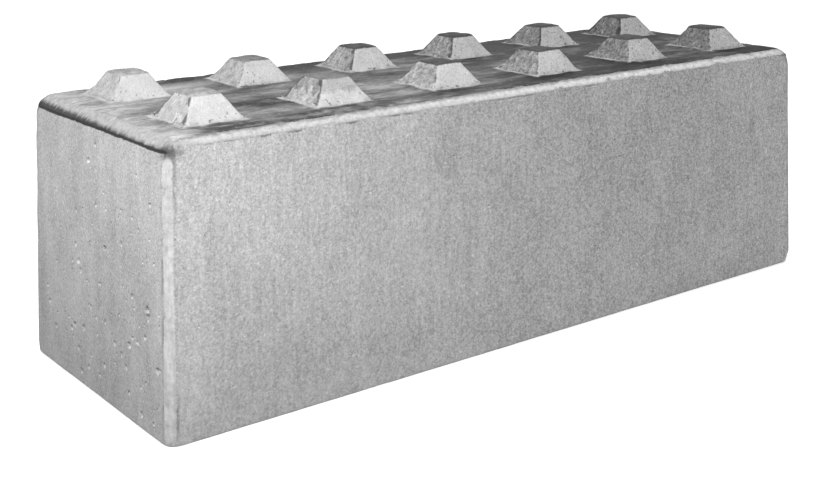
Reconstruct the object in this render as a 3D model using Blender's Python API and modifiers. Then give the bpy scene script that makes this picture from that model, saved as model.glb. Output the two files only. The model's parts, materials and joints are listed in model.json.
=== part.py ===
"""Interlocking precast concrete block, with the steel cage, spacers and lifting anchors cast into it.

Units are metres and +Z is up. The origin is at the centre of the underside, and +X runs along the
length. The casting has a grid of truncated pyramid studs on its deck and matching sockets in its
underside. Every cast-in piece sits in its own slightly larger hollow in the casting.
"""

import math

import bmesh
import bpy
from mathutils import Matrix

# Casting
LENGTH = 1.8
WIDTH = 0.6
BODY_HEIGHT = 0.55
CORNER_BEVEL = 0.014
END_BEVEL_SETBACK = 0.025
END_BEVEL_DROP = 0.023
SIDE_BEVEL_SETBACK = 0.018
SIDE_BEVEL_DROP = 0.015
FOOT_BEVEL = 0.004

# Studs on the deck, and the sockets that take the studs of the block below
STUD_PITCH = 0.3
STUD_BASE = 0.130
STUD_TOP = 0.064
STUD_HEIGHT = 0.050
STUD_ROOT = 0.004
SOCKET_PLAY = 0.006

# Steel cage
COVER = 0.040
LINK_RADIUS = 0.004
LINK_BEND_RADIUS = 0.016
LINK_BEND_STEPS = 4
LINK_STATIONS = (-0.84, -0.6, -0.3, 0.0, 0.3, 0.6, 0.84)
BAR_RADIUS = 0.006
BAR_NEST = 0.0054
BAR_RESOLUTION = 4
LINK_RESOLUTION = 2

# Lifting anchors with a spherical head
ANCHOR_OFFSET = 0.325
ANCHOR_LENGTH = 0.170
ANCHOR_SINK = 0.011
HEAD_RADIUS = 0.013
SHANK_RADIUS = 0.007
FOOT_RADIUS = 0.0175
FOOT_THICKNESS = 0.005
RECESS_RADIUS = 0.037
TURNED_STEPS = 24
BALL_ARC_STEPS = 8

# Spacers that hold the cage off the mould
CHAIR_FOOT_RADIUS = 0.020
CHAIR_TOP_RADIUS = 0.011
CHAIR_STATIONS = (-0.6, 0.0, 0.6)
CHAIR_OFFSET = 0.2
WHEEL_RADIUS = 0.042
WHEEL_BORE_RADIUS = 0.0045
WHEEL_THICKNESS = 0.010
WHEEL_STATIONS = (-0.6, 0.6)
WHEEL_HEIGHTS = (0.16, 0.40)
WHEEL_STEPS = 16

# Fits
GAP = 0.0003
HOLLOW_PLAY = 0.001
CUT_THROUGH = 0.010

STUD_XS = [STUD_PITCH * (column - 2.5) for column in range(6)]
STUD_YS = [STUD_PITCH * (row - 0.5) for row in range(2)]
LINK_Y = WIDTH / 2 - COVER - LINK_RADIUS
LINK_LOW = COVER + LINK_RADIUS
LINK_HIGH = BODY_HEIGHT - COVER - LINK_RADIUS
BAR_END = LENGTH / 2 - COVER
ANCHOR_TOP = BODY_HEIGHT - ANCHOR_SINK


def clear_scene():
    for obj in list(bpy.data.objects):
        bpy.data.objects.remove(obj, do_unlink=True)


def new_collection(name):
    collection = bpy.data.collections.new(name)
    bpy.context.scene.collection.children.link(collection)
    return collection


def material(name, colour, roughness, metallic=0.0):
    made = bpy.data.materials.new(name)
    made.use_nodes = True
    shader = made.node_tree.nodes["Principled BSDF"]
    shader.inputs["Base Color"].default_value = (*colour, 1.0)
    shader.inputs["Roughness"].default_value = roughness
    shader.inputs["Metallic"].default_value = metallic
    return made


def add_object(name, data, finish):
    """A part when it has a material, or a hidden cutter when finish is None."""
    obj = bpy.data.objects.new(name, data)
    if finish is None:
        CUTTERS.objects.link(obj)
        obj.hide_render = True
        obj.display_type = "WIRE"
    else:
        PARTS.objects.link(obj)
        data.materials.append(finish)
    return obj


def mesh_from(bm, name):
    mesh = bpy.data.meshes.new(name)
    bmesh.ops.recalc_face_normals(bm, faces=bm.faces)
    bm.to_mesh(mesh)
    bm.free()
    return mesh


def shade_round(mesh):
    mesh.shade_smooth()
    mesh.set_sharp_from_angle(angle=math.radians(40))


def cut(obj, cutter, operation="DIFFERENCE"):
    modifier = obj.modifiers.new(cutter.name, "BOOLEAN")
    modifier.operation = operation
    modifier.object = cutter


# Casting


def plane_off(bm, point, normal):
    """Planes the solid off flat, on the side that the normal points to."""
    geometry = bm.verts[:] + bm.edges[:] + bm.faces[:]
    sliced = bmesh.ops.bisect_plane(
        bm, geom=geometry, plane_co=point, plane_no=normal, clear_outer=True, dist=1e-6
    )
    rim = [item for item in sliced["geom_cut"] if isinstance(item, bmesh.types.BMEdge)]
    bmesh.ops.contextual_create(bm, geom=rim)


def bevelled_block():
    """The block's body, with its upright, top and bottom edges planed off."""
    bm = bmesh.new()
    size = Matrix.Diagonal((LENGTH, WIDTH, BODY_HEIGHT, 1))
    bmesh.ops.create_cube(bm, size=1.0, matrix=Matrix.Translation((0, 0, BODY_HEIGHT / 2)) @ size)
    for side_x in (-1, 1):
        for side_y in (-1, 1):
            corner = (side_x * (LENGTH / 2 - CORNER_BEVEL), side_y * WIDTH / 2, 0)
            plane_off(bm, corner, (side_x, side_y, 0))
    for side in (-1, 1):
        end = side * LENGTH / 2
        end_top = BODY_HEIGHT - END_BEVEL_DROP
        plane_off(bm, (end, 0, end_top), (side * END_BEVEL_DROP, 0, END_BEVEL_SETBACK))
        plane_off(bm, (end, 0, FOOT_BEVEL), (side, 0, -1))
        flank = side * WIDTH / 2
        flank_top = BODY_HEIGHT - SIDE_BEVEL_DROP
        plane_off(bm, (0, flank, flank_top), (0, side * SIDE_BEVEL_DROP, SIDE_BEVEL_SETBACK))
        plane_off(bm, (0, flank, FOOT_BEVEL), (0, side, -1))
    return mesh_from(bm, "block_casting")


def pyramid_grid(name, low, high, low_width, high_width):
    """A truncated square pyramid at every stud place, between two heights."""
    bm = bmesh.new()
    for x in STUD_XS:
        for y in STUD_YS:
            turn = Matrix.Rotation(math.radians(45), 4, "Z")
            bmesh.ops.create_cone(
                bm,
                cap_ends=True,
                segments=4,
                radius1=low_width / math.sqrt(2),
                radius2=high_width / math.sqrt(2),
                depth=high - low,
                matrix=Matrix.Translation((x, y, (low + high) / 2)) @ turn,
            )
    return add_object(name, mesh_from(bm, name), None)


def stud_grid():
    """The studs, sunk a little into the deck along their own slope."""
    slope = (STUD_BASE - STUD_TOP) / STUD_HEIGHT
    root = BODY_HEIGHT - STUD_ROOT
    root_width = STUD_BASE + slope * STUD_ROOT
    return pyramid_grid("stud_grid", root, BODY_HEIGHT + STUD_HEIGHT, root_width, STUD_TOP)


def socket_grid():
    """A stud's shape with play all round, carried on below the underside so that it cuts cleanly."""
    depth = STUD_HEIGHT + SOCKET_PLAY
    roof = STUD_TOP + 2 * SOCKET_PLAY
    mouth = STUD_BASE + 2 * SOCKET_PLAY
    slope = (mouth - roof) / depth
    return pyramid_grid("socket_grid", -CUT_THROUGH, depth, mouth + slope * CUT_THROUGH, roof)


# Cage bars


def tube(name, points, radius, resolution, finish, cyclic=False):
    """A round bar along straight runs between points. A cutter is turned into a mesh at once."""
    curve = bpy.data.curves.new(name, "CURVE")
    curve.dimensions = "3D"
    curve.bevel_depth = radius
    curve.bevel_resolution = resolution
    curve.use_fill_caps = True
    spline = curve.splines.new("POLY")
    spline.points.add(len(points) - 1)
    for place, point in zip(spline.points, points):
        place.co = (*point, 1.0)
    spline.use_cyclic_u = cyclic
    obj = add_object(name, curve, finish)
    return obj if finish else curve_to_mesh(obj)


def curve_to_mesh(curve_object):
    name = curve_object.name
    bpy.context.view_layer.update()
    evaluated = curve_object.evaluated_get(bpy.context.evaluated_depsgraph_get())
    mesh = bpy.data.meshes.new_from_object(evaluated)
    bpy.data.objects.remove(curve_object, do_unlink=True)
    bm = bmesh.new()
    bm.from_mesh(mesh)
    bmesh.ops.remove_doubles(bm, verts=bm.verts, dist=1e-5)
    return add_object(name, mesh_from(bm, name), None)


def bar_places():
    """(name, y, z) of each long bar: one nested in each bend of the links, one halfway up each flank."""
    nest = LINK_BEND_RADIUS - BAR_NEST / math.sqrt(2)
    rest = LINK_RADIUS + BAR_RADIUS + GAP
    places = []
    for side, side_name in ((-1, "front"), (1, "rear")):
        places.append((f"long_bar_{side_name}_bottom", side * (LINK_Y - nest), LINK_LOW + nest))
        places.append((f"long_bar_{side_name}_middle", side * (LINK_Y - rest), BODY_HEIGHT / 2))
        places.append((f"long_bar_{side_name}_top", side * (LINK_Y - nest), LINK_HIGH - nest))
    return places


def long_bar(name, y, z, play, finish):
    ends = [(-BAR_END - play, y, z), (BAR_END + play, y, z)]
    return tube(name, ends, BAR_RADIUS + play, BAR_RESOLUTION, finish)


def link_outline(x):
    """The centreline of a closed link: four straight legs joined by arcs."""
    middle_z = (LINK_LOW + LINK_HIGH) / 2
    reach_y = LINK_Y - LINK_BEND_RADIUS
    reach_z = (LINK_HIGH - LINK_LOW) / 2 - LINK_BEND_RADIUS
    points = []
    for quarter, (side_y, side_z) in enumerate(((1, 1), (-1, 1), (-1, -1), (1, -1))):
        for step in range(LINK_BEND_STEPS + 1):
            angle = math.radians(90) * (quarter + step / LINK_BEND_STEPS)
            y = side_y * reach_y + LINK_BEND_RADIUS * math.cos(angle)
            z = middle_z + side_z * reach_z + LINK_BEND_RADIUS * math.sin(angle)
            points.append((x, y, z))
    return points


def link(name, x, play, finish):
    return tube(name, link_outline(x), LINK_RADIUS + play, LINK_RESOLUTION, finish, cyclic=True)


# Turned pieces


def turned(name, profile, steps, finish, ring=False):
    """A solid of revolution about its own Z axis. The profile runs down the outer side, at +X.

    A ring's profile is joined up from its last point to its first. Any other starts and ends on the axis.
    """
    bm = bmesh.new()
    rim = [bm.verts.new((radius, 0, z)) for radius, z in profile]
    ends = rim[1:] + rim[:1] if ring else rim[1:]
    for start, end in zip(rim, ends):
        bm.edges.new((start, end))
    mesh = bpy.data.meshes.new(name)
    bm.to_mesh(mesh)
    bm.free()
    obj = add_object(name, mesh, finish)
    screw = obj.modifiers.new("turn", "SCREW")
    screw.steps = screw.render_steps = steps
    screw.use_merge_vertices = True
    screw.merge_threshold = 1e-5
    return obj


def anchor_profile(ball_radius, ball_centre, play):
    """A ball, shank and flared foot, from the crown of the ball down to the middle of the foot."""
    shank = SHANK_RADIUS + play
    foot = FOOT_RADIUS + play
    foot_low = ANCHOR_TOP - ANCHOR_LENGTH - play
    foot_high = foot_low + FOOT_THICKNESS + 2 * play
    lowest = math.pi - math.asin(shank / ball_radius)
    profile = []
    for step in range(BALL_ARC_STEPS + 1):
        angle = lowest * step / BALL_ARC_STEPS
        profile.append((ball_radius * math.sin(angle), ball_centre + ball_radius * math.cos(angle)))
    profile.append((shank, foot_high + foot - shank))
    profile.append((foot, foot_high))
    profile.append((foot, foot_low))
    profile.append((0.0, foot_low))
    return profile


def lifting_anchor(name, x, play, finish):
    """An anchor, or its hollow, whose ball is the half-ball recess that gives access to the head."""
    if play:
        profile = anchor_profile(RECESS_RADIUS, BODY_HEIGHT, play)
    else:
        profile = anchor_profile(HEAD_RADIUS, ANCHOR_TOP - HEAD_RADIUS, play)
    anchor = turned(name, profile, TURNED_STEPS, finish)
    anchor.location.x = x
    return anchor


def bar_chair(name, x, y, play, finish):
    """A tapered foot that carries the bottom leg of a link. Its hollow runs out through the underside."""
    low = -CUT_THROUGH if play else 0.0
    high = COVER - GAP + play
    taper = (CHAIR_FOOT_RADIUS - CHAIR_TOP_RADIUS) / COVER
    bm = bmesh.new()
    bmesh.ops.create_cone(
        bm,
        cap_ends=True,
        segments=TURNED_STEPS,
        radius1=CHAIR_FOOT_RADIUS - taper * low + play,
        radius2=CHAIR_FOOT_RADIUS - taper * high + play,
        depth=high - low,
        matrix=Matrix.Translation((x, y, (low + high) / 2)),
    )
    mesh = mesh_from(bm, name)
    shade_round(mesh)
    return add_object(name, mesh, finish)


def wheel_spacer(name, x, y, z, play, finish):
    """A ring round an upright leg of a link. Its hollow is a plain disc, which takes in the leg's."""
    half = WHEEL_THICKNESS / 2 + play
    outer = WHEEL_RADIUS + play
    inner = 0.0 if play else WHEEL_BORE_RADIUS
    profile = [(inner, half), (outer, half), (outer, -half), (inner, -half)]
    wheel = turned(name, profile, WHEEL_STEPS, finish, ring=not play)
    wheel.location = (x, y, z)
    return wheel


def cast_in_pieces():
    """(maker, name, place, finish) of every piece that is cast into the concrete."""
    pieces = []
    for name, y, z in bar_places():
        pieces.append((long_bar, name, (y, z), BAR_STEEL))
    for number, x in enumerate(LINK_STATIONS, 1):
        pieces.append((link, f"cage_link_{number}", (x,), BAR_STEEL))
    for x, end_name in ((-ANCHOR_OFFSET, "left"), (ANCHOR_OFFSET, "right")):
        pieces.append((lifting_anchor, f"lifting_anchor_{end_name}", (x,), ANCHOR_STEEL))
    for number, x in enumerate(CHAIR_STATIONS, 1):
        for side, side_name in ((-1, "front"), (1, "rear")):
            place = (x, side * CHAIR_OFFSET)
            pieces.append((bar_chair, f"bar_chair_{side_name}_{number}", place, FIBRE_CEMENT))
    for x, end_name in zip(WHEEL_STATIONS, ("left", "right")):
        for side, side_name in ((-1, "front"), (1, "rear")):
            for z, level in zip(WHEEL_HEIGHTS, ("low", "high")):
                name = f"wheel_spacer_{side_name}_{end_name}_{level}"
                pieces.append((wheel_spacer, name, (x, side * LINK_Y, z), SPACER_PLASTIC))
    return pieces


def build():
    casting = add_object("block_casting", bevelled_block(), CONCRETE)
    cut(casting, stud_grid(), "UNION")
    cut(casting, socket_grid())
    for maker, name, place, finish in cast_in_pieces():
        maker(name, *place, 0.0, finish)
        cut(casting, maker(f"hollow_{name}", *place, HOLLOW_PLAY, None))


clear_scene()
PARTS = new_collection("interlocking_concrete_block")
CUTTERS = new_collection("cutters")
CONCRETE = material("concrete", (0.36, 0.36, 0.35), 0.9)
BAR_STEEL = material("ribbed_bar_steel", (0.21, 0.15, 0.12), 0.65, 0.8)
ANCHOR_STEEL = material("forged_anchor_steel", (0.23, 0.23, 0.24), 0.5, 1.0)
FIBRE_CEMENT = material("fibre_cement", (0.46, 0.45, 0.42), 0.85)
SPACER_PLASTIC = material("spacer_plastic", (0.10, 0.10, 0.11), 0.5)
build()
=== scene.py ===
"""The looks of the interlocking concrete block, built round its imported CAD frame.

The casting's skin is the CAD solid, refined where it needs detail and then drawn onto a worn
version of its shape, written as a distance function: soft and chipped edges, uneven studs, air
pits and a rough deck. Masks stored on its points tell the concrete material what each place is.
The steel and the spacers cast into it are built finely from their places in the frame.
"""

import json
import math

import bmesh
import bpy
import numpy as np
from mathutils import Matrix, Vector


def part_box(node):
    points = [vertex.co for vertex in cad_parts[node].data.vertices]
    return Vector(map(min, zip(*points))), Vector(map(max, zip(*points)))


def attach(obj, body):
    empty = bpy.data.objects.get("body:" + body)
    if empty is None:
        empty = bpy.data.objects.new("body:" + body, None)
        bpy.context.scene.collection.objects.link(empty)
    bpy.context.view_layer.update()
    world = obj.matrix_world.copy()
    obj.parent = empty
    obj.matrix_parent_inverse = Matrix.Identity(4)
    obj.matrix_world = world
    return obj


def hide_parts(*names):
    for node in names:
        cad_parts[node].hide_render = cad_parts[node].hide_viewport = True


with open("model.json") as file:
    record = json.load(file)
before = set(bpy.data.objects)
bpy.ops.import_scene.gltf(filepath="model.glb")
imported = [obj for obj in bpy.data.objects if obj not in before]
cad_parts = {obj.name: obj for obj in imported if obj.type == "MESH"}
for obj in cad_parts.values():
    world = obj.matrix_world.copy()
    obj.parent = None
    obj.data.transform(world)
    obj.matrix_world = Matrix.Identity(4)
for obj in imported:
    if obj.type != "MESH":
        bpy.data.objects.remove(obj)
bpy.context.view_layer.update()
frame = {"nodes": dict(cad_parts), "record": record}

# Places and overall sizes, from the frame
CASTING_LOW, CASTING_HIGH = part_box("block_casting")
END_X = CASTING_HIGH.x
FLANK_Y = CASTING_HIGH.y
STUD_TOP_Z = CASTING_HIGH.z
DECK_Z = next(mount["pos_m"][2] for mount in frame["record"]["mounts"] if mount["name"] == "deck")
SOCKET_BOXES = [opening["box_m"] for opening in frame["record"]["physics"]["openings"]]
STUD_XS = sorted({round((low[0] + high[0]) / 2, 4) for low, high in SOCKET_BOXES})
STUD_YS = sorted({round((low[1] + high[1]) / 2, 4) for low, high in SOCKET_BOXES})
PITCH = STUD_XS[1] - STUD_XS[0]

# The casting's bevels, studs, sockets and anchor recesses, in metres
CORNER_BEVEL = 0.014
END_BEVEL = (0.025, 0.023)
SIDE_BEVEL = (0.018, 0.015)
FOOT_BEVEL = 0.004
STUD_BASE = 0.130
STUD_TOP = 0.064
SOCKET_PLAY = 0.006
RECESS_RADIUS = 0.037
SOLID_OVERLAP = 0.02

# Wear, in metres
TOP_EDGE_SOFTNESS = 0.0026
FOOT_EDGE_SOFTNESS = 0.0010
STUD_EDGE_SOFTNESS = 0.0018
STUD_RISE = 0.0015
STUD_UNEVENNESS = 0.0008
STUD_TILT = 0.015
STUD_SWELL = 0.0016
STUD_ROOT_SOFTNESS = 0.0035
SOCKET_EDGE_SOFTNESS = 0.0010
FACE_WAVES = 0.00035
FACE_RIPPLES = 0.00010
DECK_WAVES = 0.0010
BEVEL_MARKS = 0.0009
STUD_LUMPS = 0.0015
BEVEL_BULGE = 0.0020
RIM_BEAD_WIDTH = 0.007
RIM_BEAD_HEIGHT = 0.0016
CHIP_REACH = 0.005
CHIP_DEPTH = 0.0035
FOOT_CORNER_BITE = 0.0020
KNOCKED_CORNER_BITE = 0.0095
TOP_CORNER_BITE = 0.0045

# Mesh density, in metres
SLICE_STEP = 0.060
PLAIN_EDGE = 0.036
STUD_FINE_EDGE = 0.0060
BEVEL_FINE_EDGE = 0.0069
FOOT_FINE_EDGE = 0.012
SOCKET_FINE_EDGE = 0.024
RECESS_FINE_EDGE = 0.006
EDGE_GROWTH = 0.85
PIT_EDGE_GROWTH = 1.2
MOST_SPLITS = 6
SKIN_DEPTH = 0.0004

# Air pits: how many there are, then the least radius and the spread of radii, in metres
LEFT_END_PITS = 100
RIGHT_END_PITS = 60
FLANK_PITS = 32
END_PIT_RADII = (0.0026, 0.0048)
FLANK_PIT_RADII = (0.0015, 0.0028)
PIT_SEED = 11

SOILED_SEED = 140

# Tones of the formed faces and of the pale paste on the bevels, from black at 0 to white at 1
WALL_TONE = 0.285
PALE_TONE = 0.37

# Stage, in metres, watts and degrees
FLOOR_HALF_SIZE = 30.0
FLOOR_GLOW = 0.21
WORLD_STRENGTH = 0.85
KEY_PLACE = (-2.3, -2.2, 2.2)
KEY_SIZE = 1.2
KEY_WATTS = 120.0
FILL_PLACE = (2.6, 3.2, 3.0)
FILL_SIZE = 2.5
FILL_WATTS = 60.0
CAMERA_PLACE = (-1.9744, -2.3502, 1.0476)
CAMERA_TURN = (35.881, 1.364, -0.5)
CAMERA_LENS = 57.03
CAMERA_SHIFT = (0.0750, -0.4311)
CAMERA_SHIFT_REACH = 0.01
SENSOR_WIDTH = 36.0


# Noise


def lattice(cell, seed):
    """A repeatable value from -1 to 1 for each whole-number cell."""
    mixed = cell[..., 0] * 73856093 ^ cell[..., 1] * 19349663 ^ cell[..., 2] * 83492791
    mixed = (mixed ^ seed * 668265263) & 0xFFFFFFFF
    mixed = ((mixed ^ mixed >> 13) * 1274126177) & 0xFFFFFFFF
    mixed = ((mixed ^ mixed >> 15) * 2246822519) & 0xFFFFFFFF
    return (mixed ^ mixed >> 16) / 2**31 - 1


def noise(points, size, seed):
    """Smooth noise from -1 to 1. size is one length in metres, or one for each axis."""
    place = points / np.asarray(size, float)
    cell = np.floor(place).astype(np.int64)
    part = place - cell
    part = part * part * (3 - 2 * part)
    total = np.zeros(len(points))
    for corner in range(8):
        step = np.array([corner & 1, corner >> 1 & 1, corner >> 2 & 1])
        weight = np.where(step, part, 1 - part).prod(1)
        total += weight * lattice(cell + step, seed)
    return total


def layered(points, size, seed):
    """Three layers of noise, each finer one half as large and half as strong."""
    total = np.zeros(len(points))
    for layer in range(3):
        total += noise(points, np.asarray(size, float) / 2**layer, seed + layer) / 2**layer
    return total / 1.6


def ramp(value, low, high):
    """0 below low, 1 above high and a smooth rise between them."""
    share = np.clip((value - low) / (high - low), 0, 1)
    return share * share * (3 - 2 * share)


# The worn shape of the casting, as a distance function


def casting_planes():
    """Normals and offsets of the body's flat faces: its six sides and all its bevels."""
    faces = [((0, 0, DECK_Z), (0, 0, 1)), ((0, 0, 0), (0, 0, -1))]
    for side in (-1, 1):
        end = side * END_X
        flank = side * FLANK_Y
        faces.append(((end, 0, 0), (side, 0, 0)))
        faces.append(((0, flank, 0), (0, side, 0)))
        faces.append(((end, 0, DECK_Z - END_BEVEL[1]), (side * END_BEVEL[1], 0, END_BEVEL[0])))
        faces.append(((0, flank, DECK_Z - SIDE_BEVEL[1]), (0, side * SIDE_BEVEL[1], SIDE_BEVEL[0])))
        faces.append(((end, 0, FOOT_BEVEL), (side, 0, -1)))
        faces.append(((0, flank, FOOT_BEVEL), (0, side, -1)))
        for other in (-1, 1):
            faces.append(((end - side * CORNER_BEVEL, other * FLANK_Y, 0), (side, other, 0)))
    normals = np.array([Vector(normal).normalized() for _, normal in faces])
    offsets = (np.array([point for point, _ in faces]) * normals).sum(1)
    return normals, offsets


PLANE_NORMALS, PLANE_OFFSETS = casting_planes()


def soft_max(values, softness):
    """The largest of each row, rounded over where several are close."""
    most = values.max(1)
    softness = np.broadcast_to(softness, most.shape)
    return most + softness * np.log(np.exp((values - most[:, None]) / softness[:, None]).sum(1))


def grid_place(points):
    """The cell (column, row, 0) of the stud nearest each point, and the place from its centre."""
    x, y = points[:, :2].T
    column = np.clip(np.round((x - STUD_XS[0]) / PITCH), 0, len(STUD_XS) - 1)
    row = np.clip(np.round((y - STUD_YS[0]) / PITCH), 0, len(STUD_YS) - 1)
    from_x = x - STUD_XS[0] - column * PITCH
    from_y = y - STUD_YS[0] - row * PITCH
    cell = np.stack([column, row, column * 0], 1).astype(np.int64)
    return cell, from_x, from_y


def pyramid_distances(points, low, high, low_width, high_width, settle=0.0):
    """Distances outside a stud or socket's sides, as two columns, then its top and its bottom."""
    _, from_x, from_y = grid_place(points)
    slope = (low_width - high_width) / 2 / (high - low)
    half = low_width / 2 - (points[:, 2] - low) * slope
    lean = 1 / math.hypot(1, slope)
    top = points[:, 2] - high + settle
    bottom = low - SOLID_OVERLAP - points[:, 2]
    return np.stack([(abs(from_x) - half) * lean, (abs(from_y) - half) * lean, top, bottom], 1)


def stud_distances(points, worn=False):
    """Distances outside the studs. A worn stud's top stands and tilts a little in its own way."""
    settle = 0.0
    if worn:
        cell, from_x, from_y = grid_place(points)
        settle = STUD_UNEVENNESS * lattice(cell, 3) - STUD_RISE
        settle += STUD_TILT * (lattice(cell, 4) * from_x + lattice(cell, 5) * from_y)
    return pyramid_distances(points, DECK_Z, STUD_TOP_Z, STUD_BASE, STUD_TOP, settle)


def socket_distances(points):
    depth = STUD_TOP_Z - DECK_Z + SOCKET_PLAY
    mouth, roof = STUD_BASE + 2 * SOCKET_PLAY, STUD_TOP + 2 * SOCKET_PLAY
    return pyramid_distances(points, 0.0, depth, mouth, roof)


def recess_distance(points):
    """Distance outside the nearer of the two anchor recesses."""
    nearest = np.full(len(points), np.inf)
    for end_name in ("left", "right"):
        low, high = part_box(f"lifting_anchor_{end_name}")
        centre = np.array([(low.x + high.x) / 2, (low.y + high.y) / 2, DECK_Z])
        nearest = np.minimum(nearest, np.linalg.norm(points - centre, axis=1) - RECESS_RADIUS)
    return nearest


def casting_distance(points, softness=None):
    """Distance outside the casting. softness maps edge kinds to how far each is rounded over."""
    worn = softness is not None
    softness = softness or {"body": 1e-5, "stud": 1e-5, "root": 1e-5, "socket": 1e-5}
    body = soft_max(points @ PLANE_NORMALS.T - PLANE_OFFSETS, softness["body"])
    stud = soft_max(stud_distances(points, worn), softness["stud"])
    above = -soft_max(-np.stack([body, stud], 1), softness["root"])
    socket = soft_max(socket_distances(points), softness["socket"])
    hollow = np.minimum(socket, recess_distance(points))
    return soft_max(np.stack([above, -hollow], 1), softness["socket"])


def edge_closeness(distances, reach):
    """1 on an edge, where two faces' distances are equal, falling to 0 within reach of it."""
    ordered = np.sort(distances, 1)
    return np.exp(-(ordered[:, -1] - ordered[:, -2]) / reach)


def wear(points):
    """(how soft each kind of edge is, how deep the surface is bitten away) at each point."""
    x, y, z = points.T
    body = points @ PLANE_NORMALS.T - PLANE_OFFSETS
    studs = stud_distances(points)
    on_stud = z > DECK_Z + 0.0005
    high_edge = ramp(z, 0.05, 0.45)
    uneven = layered(points, 0.035, 20)
    _, from_x, _ = grid_place(points)
    flare = 1 + 1.1 * ramp(-from_x, STUD_TOP / 2, STUD_BASE / 2)
    body_soft = FOOT_EDGE_SOFTNESS + (TOP_EDGE_SOFTNESS - FOOT_EDGE_SOFTNESS) * high_edge
    softness = {
        "body": body_soft * (1 + 0.6 * uneven),
        "stud": STUD_EDGE_SOFTNESS * (1 + 0.7 * uneven),
        "root": STUD_ROOT_SOFTNESS * (1 + 0.7 * layered(points, 0.05, 25)) * flare,
        "socket": SOCKET_EDGE_SOFTNESS,
    }
    edge = np.where(on_stud, edge_closeness(studs, CHIP_REACH), edge_closeness(body, CHIP_REACH))
    chips = ramp(layered(points, 0.016, 30), 0.28, 0.6) * ramp(noise(points, 0.11, 33), -0.1, 0.5)
    bite = CHIP_DEPTH * chips * edge * np.where(on_stud, 0.6, 0.25 + 0.75 * high_edge)
    on_deck = (z > DECK_Z - 0.0005) & ~on_stud
    on_bevel = (z > DECK_Z - END_BEVEL[1]) & ~on_stud & ~on_deck
    bite += FACE_WAVES * layered(points, 0.16, 40) + FACE_RIPPLES * noise(points, 0.03, 43)
    bite += np.where(on_deck, DECK_WAVES * layered(points, (0.11, 0.045, 0.05), 50), 0)
    at_end = abs(x) > END_X - END_BEVEL[0]
    cross_marks = layered(points, (0.05, 0.009, 0.05), 60) * at_end + layered(points, 0.018, 64)
    bite += np.where(on_bevel, BEVEL_MARKS * cross_marks, 0)
    fallen = np.clip((DECK_Z - z) / np.where(at_end, END_BEVEL[1], SIDE_BEVEL[1]), 0, 1)
    bite -= np.where(on_bevel, BEVEL_BULGE * 4 * fallen * (1 - fallen), 0)
    bite += np.where(on_stud, STUD_LUMPS * layered(points, 0.026, 70) - STUD_SWELL, 0)
    bite += rim_crust(points, on_deck, on_bevel)
    from_foot = np.stack([END_X - abs(x), FLANK_Y - abs(y), z], 1)
    knocked = (x > 0) & (y < 0)
    corner_bite = np.where(knocked, KNOCKED_CORNER_BITE, FOOT_CORNER_BITE)
    bite += corner_bite * ramp(np.linalg.norm(from_foot, axis=1), 0.034, 0.006)
    from_top = np.stack([from_foot[:, 0], from_foot[:, 1], DECK_Z - z], 1)
    bite += TOP_CORNER_BITE * ramp(np.linalg.norm(from_top, axis=1), 0.048, 0.012)
    return softness, bite


def rim_crust(points, on_deck, on_bevel):
    """Paste that rose past the mould's lip: a lumpy bead where the deck meets the side bevels."""
    from_rim = FLANK_Y - SIDE_BEVEL[0] - abs(points[:, 1])
    lumps = ramp(layered(points, (0.030, 0.014, 0.030), 80), -0.25, 0.55)
    bead = np.exp(-((from_rim / RIM_BEAD_WIDTH) ** 2))
    return -RIM_BEAD_HEIGHT * np.where(on_deck | on_bevel, bead * lumps, 0)


def settle_onto(points, softness, bite):
    """Moves nominal points onto the worn surface along its slope."""
    step = 1e-5
    placed = points.copy()
    for _ in range(3):
        here = casting_distance(placed, softness) + bite
        slope = np.empty_like(placed)
        for axis in range(3):
            moved = placed.copy()
            moved[:, axis] += step
            slope[:, axis] = (casting_distance(moved, softness) + bite - here) / step
        steep = np.maximum((slope**2).sum(1), 0.25)
        placed -= slope * (here / steep)[:, None]
    return placed


# Air pits


def air_pits():
    """(centre, inward normal, radius, depth) of each pit in the four upright faces."""
    rng = np.random.default_rng(PIT_SEED)
    pits = []
    for side in (-1, 1):
        for _ in range(LEFT_END_PITS if side < 0 else RIGHT_END_PITS):
            along = rng.beta(1.9, 1.1) * 2 - 1
            height = rng.beta(1.1, 1.7)
            y = side * along * (FLANK_Y - 0.03)
            z = 0.02 + height * (DECK_Z - 0.06)
            radius = END_PIT_RADII[0] + END_PIT_RADII[1] * rng.random() ** 2
            depth = radius * rng.uniform(0.8, 1.3)
            pits.append(((side * END_X, y, z), (-side, 0, 0), radius, depth))
        for _ in range(FLANK_PITS):
            x = rng.uniform(-1, 1) * (END_X - 0.03)
            z = 0.02 + rng.beta(1.2, 1.6) * (DECK_Z - 0.06)
            radius = FLANK_PIT_RADII[0] + FLANK_PIT_RADII[1] * rng.random() ** 3
            depth = radius * rng.uniform(0.8, 1.3)
            pits.append(((x, side * FLANK_Y, z), (0, -side, 0), radius, depth))
    return [tuple(np.array(item, float) for item in pit) for pit in pits]


def pit_edge_length(points, pits, longest):
    """How short mesh edges have to be round the pits."""
    length = np.full(len(points), longest)
    reach = longest / PIT_EDGE_GROWTH
    at_end, at_flank = abs(points[:, 0]) > END_X - 1e-4, abs(points[:, 1]) > FLANK_Y - 1e-4
    upright = np.flatnonzero(at_end | at_flank)
    upright = upright[np.argsort(points[upright, 0])]
    for centre, _, radius, _ in pits:
        first, last = np.searchsorted(points[upright, 0], (centre[0] - reach, centre[0] + reach))
        near = upright[first:last]
        near = near[(abs(points[near] - centre) < reach).all(1)]
        away = np.linalg.norm(points[near] - centre, axis=1) - radius
        wanted = 0.66 * radius + PIT_EDGE_GROWTH * np.maximum(away - 0.1 * radius, 0)
        length[near] = np.minimum(length[near], wanted)
    return length


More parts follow.
